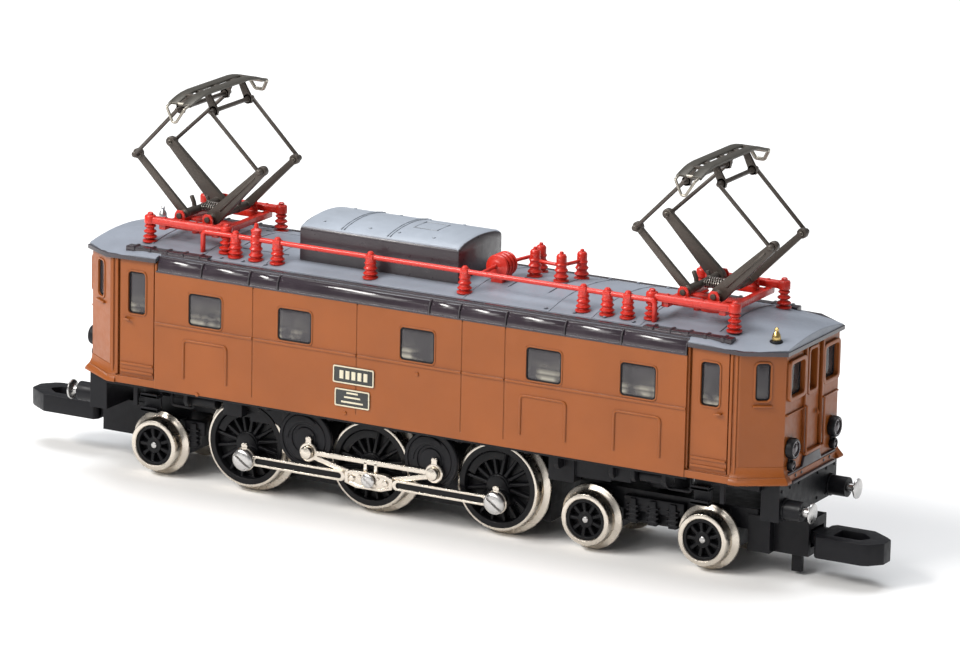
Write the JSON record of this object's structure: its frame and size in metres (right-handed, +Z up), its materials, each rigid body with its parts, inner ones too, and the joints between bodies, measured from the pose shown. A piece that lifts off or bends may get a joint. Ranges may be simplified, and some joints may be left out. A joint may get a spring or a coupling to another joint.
{
  "type": "model electric locomotive",
  "caption": "Small-scale model electric locomotive with a brown box body, folding pantographs, rod-driven wheels, a pony truck, a bogie and hook couplers.",
  "frame": {"origin": "middle of the length over the buffers and of the width, at the level of the wheel flange bottoms. The left coupler reaches 1.5 mm further out than the right one, so this isn't the middle of the bounding box.", "axes": "+X along the track towards the bogie end, +Y to the far side, +Z up"},
  "size_m": [0.0747, 0.0138, 0.0309],
  "materials": {
    "brown_paint": "satin",
    "roof_grey": "satin",
    "hood_grey": "satin",
    "cove_black": "gloss",
    "red_plastic": "gloss",
    "black_plastic": "satin",
    "chassis_metal": "matt, die-cast zinc",
    "nickel": "nickel-plated",
    "steel": "bright",
    "brass": "bright",
    "clear_plastic": "clear",
    "panto_metal": "satin",
    "plate_black": "satin",
    "white_plastic": "satin",
    "lamp_chrome": "bright rim and lens",
    "board_green": "satin",
    "motor_steel": "satin",
    "rotor_copper": "satin"
  },
  "bodies": {
    "chassis": {"chassis_frame": "chassis_metal", "body_shell": "brown_paint", "window_glazing": "clear_plastic", "roof": "roof_grey", "roof_hood": "hood_grey", "cove_panels": "cove_black", "roof_busbar": "red_plastic", "whistles": "brass", "headlamps": "lamp_chrome", "number_plates": "plate_black", "buffer_beams": "black_plastic", "buffers": "steel", "keeper_plate": "black_plastic", "keeper_screws": "steel", "motor_stator": "motor_steel", "brush_plate": "white_plastic", "circuit_board": "board_green", "panto_left_base": "red_plastic", "panto_left_springs": "steel", "panto_right_base": "red_plastic", "panto_right_springs": "steel"},
    "rotor": {"armature": "rotor_copper", "worm_shaft": "steel"},
    "idler": {"idler_gear": "white_plastic"},
    "driver_1": {"driver_1_axle": "steel", "driver_1_centres": "black_plastic", "driver_1_tyres": "nickel"},
    "driver_2": {"driver_2_axle": "steel", "driver_2_centres": "black_plastic", "driver_2_tyres": "nickel", "driver_2_gear": "white_plastic"},
    "driver_3": {"driver_3_axle": "steel", "driver_3_centres": "black_plastic", "driver_3_tyres": "nickel"},
    "jackshaft_a": {"jackshaft_1": "black_plastic"},
    "jackshaft_b": {"jackshaft_2": "black_plastic"},
    "rods_near": {"side_rods_near": "nickel", "centre_link_near": "nickel"},
    "rods_far": {"side_rods_far": "nickel", "centre_link_far": "nickel"},
    "pony": {"pony_frame": "black_plastic"},
    "pony_wheelset": {"pony_wheels": "nickel", "pony_wheel_faces": "black_plastic"},
    "bogie": {"bogie_frame": "black_plastic"},
    "bogie_wheelset_1": {"bogie_1_wheels": "nickel", "bogie_1_wheel_faces": "black_plastic"},
    "bogie_wheelset_2": {"bogie_2_wheels": "nickel", "bogie_2_wheel_faces": "black_plastic"},
    "coupler_l": {"coupler_left": "black_plastic"},
    "coupler_r": {"coupler_right": "black_plastic"},
    "panto_left_lower_a_body": {"panto_left_lower_a": "panto_metal"},
    "panto_left_lower_b_body": {"panto_left_lower_b": "panto_metal"},
    "panto_left_upper_a_body": {"panto_left_upper_a": "panto_metal"},
    "panto_left_upper_b_body": {"panto_left_upper_b": "panto_metal"},
    "panto_left_head_body": {"panto_left_head": "panto_metal"},
    "panto_right_lower_a_body": {"panto_right_lower_a": "panto_metal"},
    "panto_right_lower_b_body": {"panto_right_lower_b": "panto_metal"},
    "panto_right_upper_a_body": {"panto_right_upper_a": "panto_metal"},
    "panto_right_upper_b_body": {"panto_right_upper_b": "panto_metal"},
    "panto_right_head_body": {"panto_right_head": "panto_metal"}
  },
  "joints": [
    {"name": "driver_2_spin", "type": "hinge", "parent": "chassis", "child": "driver_2", "pos_m": [-0.00493, 0, 0.00396], "axis": [0, 1, 0], "continuous": true},
    {"name": "driver_1_spin", "type": "hinge", "parent": "chassis", "child": "driver_1", "pos_m": [-0.01588, 0, 0.00396], "axis": [0, 1, 0], "continuous": true},
    {"name": "driver_3_spin", "type": "hinge", "parent": "chassis", "child": "driver_3", "pos_m": [0.00602, 0, 0.00396], "axis": [0, 1, 0], "continuous": true},
    {"name": "jackshaft_a_spin", "type": "hinge", "parent": "chassis", "child": "jackshaft_a", "pos_m": [-0.0104, 0, 0.0053], "axis": [0, 1, 0], "continuous": true},
    {"name": "jackshaft_b_spin", "type": "hinge", "parent": "chassis", "child": "jackshaft_b", "pos_m": [0.00055, 0, 0.0053], "axis": [0, 1, 0], "continuous": true},
    {"name": "rods_near_swing", "type": "hinge", "parent": "driver_2", "child": "rods_near", "pos_m": [-0.00443, -0.0053, 0.00309], "axis": [0, 1, 0], "continuous": true},
    {"name": "rods_far_swing", "type": "hinge", "parent": "driver_2", "child": "rods_far", "pos_m": [-0.00406, 0.0053, 0.00446], "axis": [0, 1, 0], "continuous": true},
    {"name": "idler_spin", "type": "hinge", "parent": "chassis", "child": "idler", "pos_m": [-0.00493, 0, 0.00876], "axis": [0, 1, 0], "continuous": true},
    {"name": "rotor_spin", "type": "hinge", "parent": "chassis", "child": "rotor", "pos_m": [0, 0, 0.01256], "axis": [1, 0, 0], "continuous": true},
    {"name": "pony_yaw", "type": "hinge", "parent": "chassis", "child": "pony", "pos_m": [-0.02, 0, 0.0053], "axis": [0, 0, 1], "range_deg": [-6, 6]},
    {"name": "pony_wheel_spin", "type": "hinge", "parent": "pony", "child": "pony_wheelset", "pos_m": [-0.02425, 0, 0.00254], "axis": [0, 1, 0], "continuous": true},
    {"name": "coupler_left_swing", "type": "hinge", "parent": "pony", "child": "coupler_l", "pos_m": [-0.0296, 0, 0.00355], "axis": [0, 0, 1], "range_deg": [-10, 10]},
    {"name": "bogie_yaw", "type": "hinge", "parent": "chassis", "child": "bogie", "pos_m": [0.01835, 0, 0.004], "axis": [0, 0, 1], "range_deg": [-5, 5]},
    {"name": "bogie_wheel_1_spin", "type": "hinge", "parent": "bogie", "child": "bogie_wheelset_1", "pos_m": [0.01347, 0, 0.00254], "axis": [0, 1, 0], "continuous": true},
    {"name": "bogie_wheel_2_spin", "type": "hinge", "parent": "bogie", "child": "bogie_wheelset_2", "pos_m": [0.02324, 0, 0.00254], "axis": [0, 1, 0], "continuous": true},
    {"name": "coupler_right_swing", "type": "hinge", "parent": "bogie", "child": "coupler_r", "pos_m": [0.0296, 0, 0.003], "axis": [0, 0, 1], "range_deg": [-10, 10]},
    {"name": "panto_left_fold", "type": "hinge", "parent": "chassis", "child": "panto_left_lower_a_body", "pos_m": [-0.02265, 0, 0.0209], "axis": [0, 1, 0], "range_deg": [-34, 20]},
    {"name": "panto_left_lower_b_swing", "type": "hinge", "parent": "chassis", "child": "panto_left_lower_b_body", "pos_m": [-0.02015, 0, 0.0209], "axis": [0, 1, 0], "range_deg": [-20, 34]},
    {"name": "panto_left_knee_a", "type": "hinge", "parent": "panto_left_lower_a_body", "child": "panto_left_upper_a_body", "pos_m": [-0.02695, 0, 0.0251], "axis": [0, 1, 0], "range_deg": [-40, 68]},
    {"name": "panto_left_knee_b", "type": "hinge", "parent": "panto_left_lower_b_body", "child": "panto_left_upper_b_body", "pos_m": [-0.01585, 0, 0.0251], "axis": [0, 1, 0], "range_deg": [-68, 40]},
    {"name": "panto_left_head_tilt", "type": "hinge", "parent": "panto_left_upper_a_body", "child": "panto_left_head_body", "pos_m": [-0.02265, 0, 0.0293], "axis": [0, 1, 0], "range_deg": [-34, 20]},
    {"name": "panto_right_fold", "type": "hinge", "parent": "chassis", "child": "panto_right_lower_a_body", "pos_m": [0.0206, 0, 0.0209], "axis": [0, 1, 0], "range_deg": [-34, 20]},
    {"name": "panto_right_lower_b_swing", "type": "hinge", "parent": "chassis", "child": "panto_right_lower_b_body", "pos_m": [0.0231, 0, 0.0209], "axis": [0, 1, 0], "range_deg": [-20, 34]},
    {"name": "panto_right_knee_a", "type": "hinge", "parent": "panto_right_lower_a_body", "child": "panto_right_upper_a_body", "pos_m": [0.0163, 0, 0.0251], "axis": [0, 1, 0], "range_deg": [-40, 68]},
    {"name": "panto_right_knee_b", "type": "hinge", "parent": "panto_right_lower_b_body", "child": "panto_right_upper_b_body", "pos_m": [0.0274, 0, 0.0251], "axis": [0, 1, 0], "range_deg": [-68, 40]},
    {"name": "panto_right_head_tilt", "type": "hinge", "parent": "panto_right_upper_a_body", "child": "panto_right_head_body", "pos_m": [0.0206, 0, 0.0293], "axis": [0, 1, 0], "range_deg": [-34, 20]}
  ],
  "couplings": [
    {"joint": "driver_1_spin", "follows": "driver_2_spin", "ratio": 1},
    {"joint": "driver_3_spin", "follows": "driver_2_spin", "ratio": 1},
    {"joint": "jackshaft_a_spin", "follows": "driver_2_spin", "ratio": 1},
    {"joint": "jackshaft_b_spin", "follows": "driver_2_spin", "ratio": 1},
    {"joint": "rods_near_swing", "follows": "driver_2_spin", "ratio": -1},
    {"joint": "rods_far_swing", "follows": "driver_2_spin", "ratio": -1},
    {"joint": "idler_spin", "follows": "driver_2_spin", "ratio": -0.6},
    {"joint": "rotor_spin", "follows": "driver_2_spin", "ratio": 12},
    {"joint": "panto_left_lower_b_swing", "follows": "panto_left_fold", "ratio": -1},
    {"joint": "panto_left_knee_a", "follows": "panto_left_fold", "ratio": -2},
    {"joint": "panto_left_knee_b", "follows": "panto_left_fold", "ratio": 2},
    {"joint": "panto_left_head_tilt", "follows": "panto_left_fold", "ratio": 1},
    {"joint": "panto_right_lower_b_swing", "follows": "panto_right_fold", "ratio": -1},
    {"joint": "panto_right_knee_a", "follows": "panto_right_fold", "ratio": -2},
    {"joint": "panto_right_knee_b", "follows": "panto_right_fold", "ratio": 2},
    {"joint": "panto_right_head_tilt", "follows": "panto_right_fold", "ratio": 1}
  ]
}
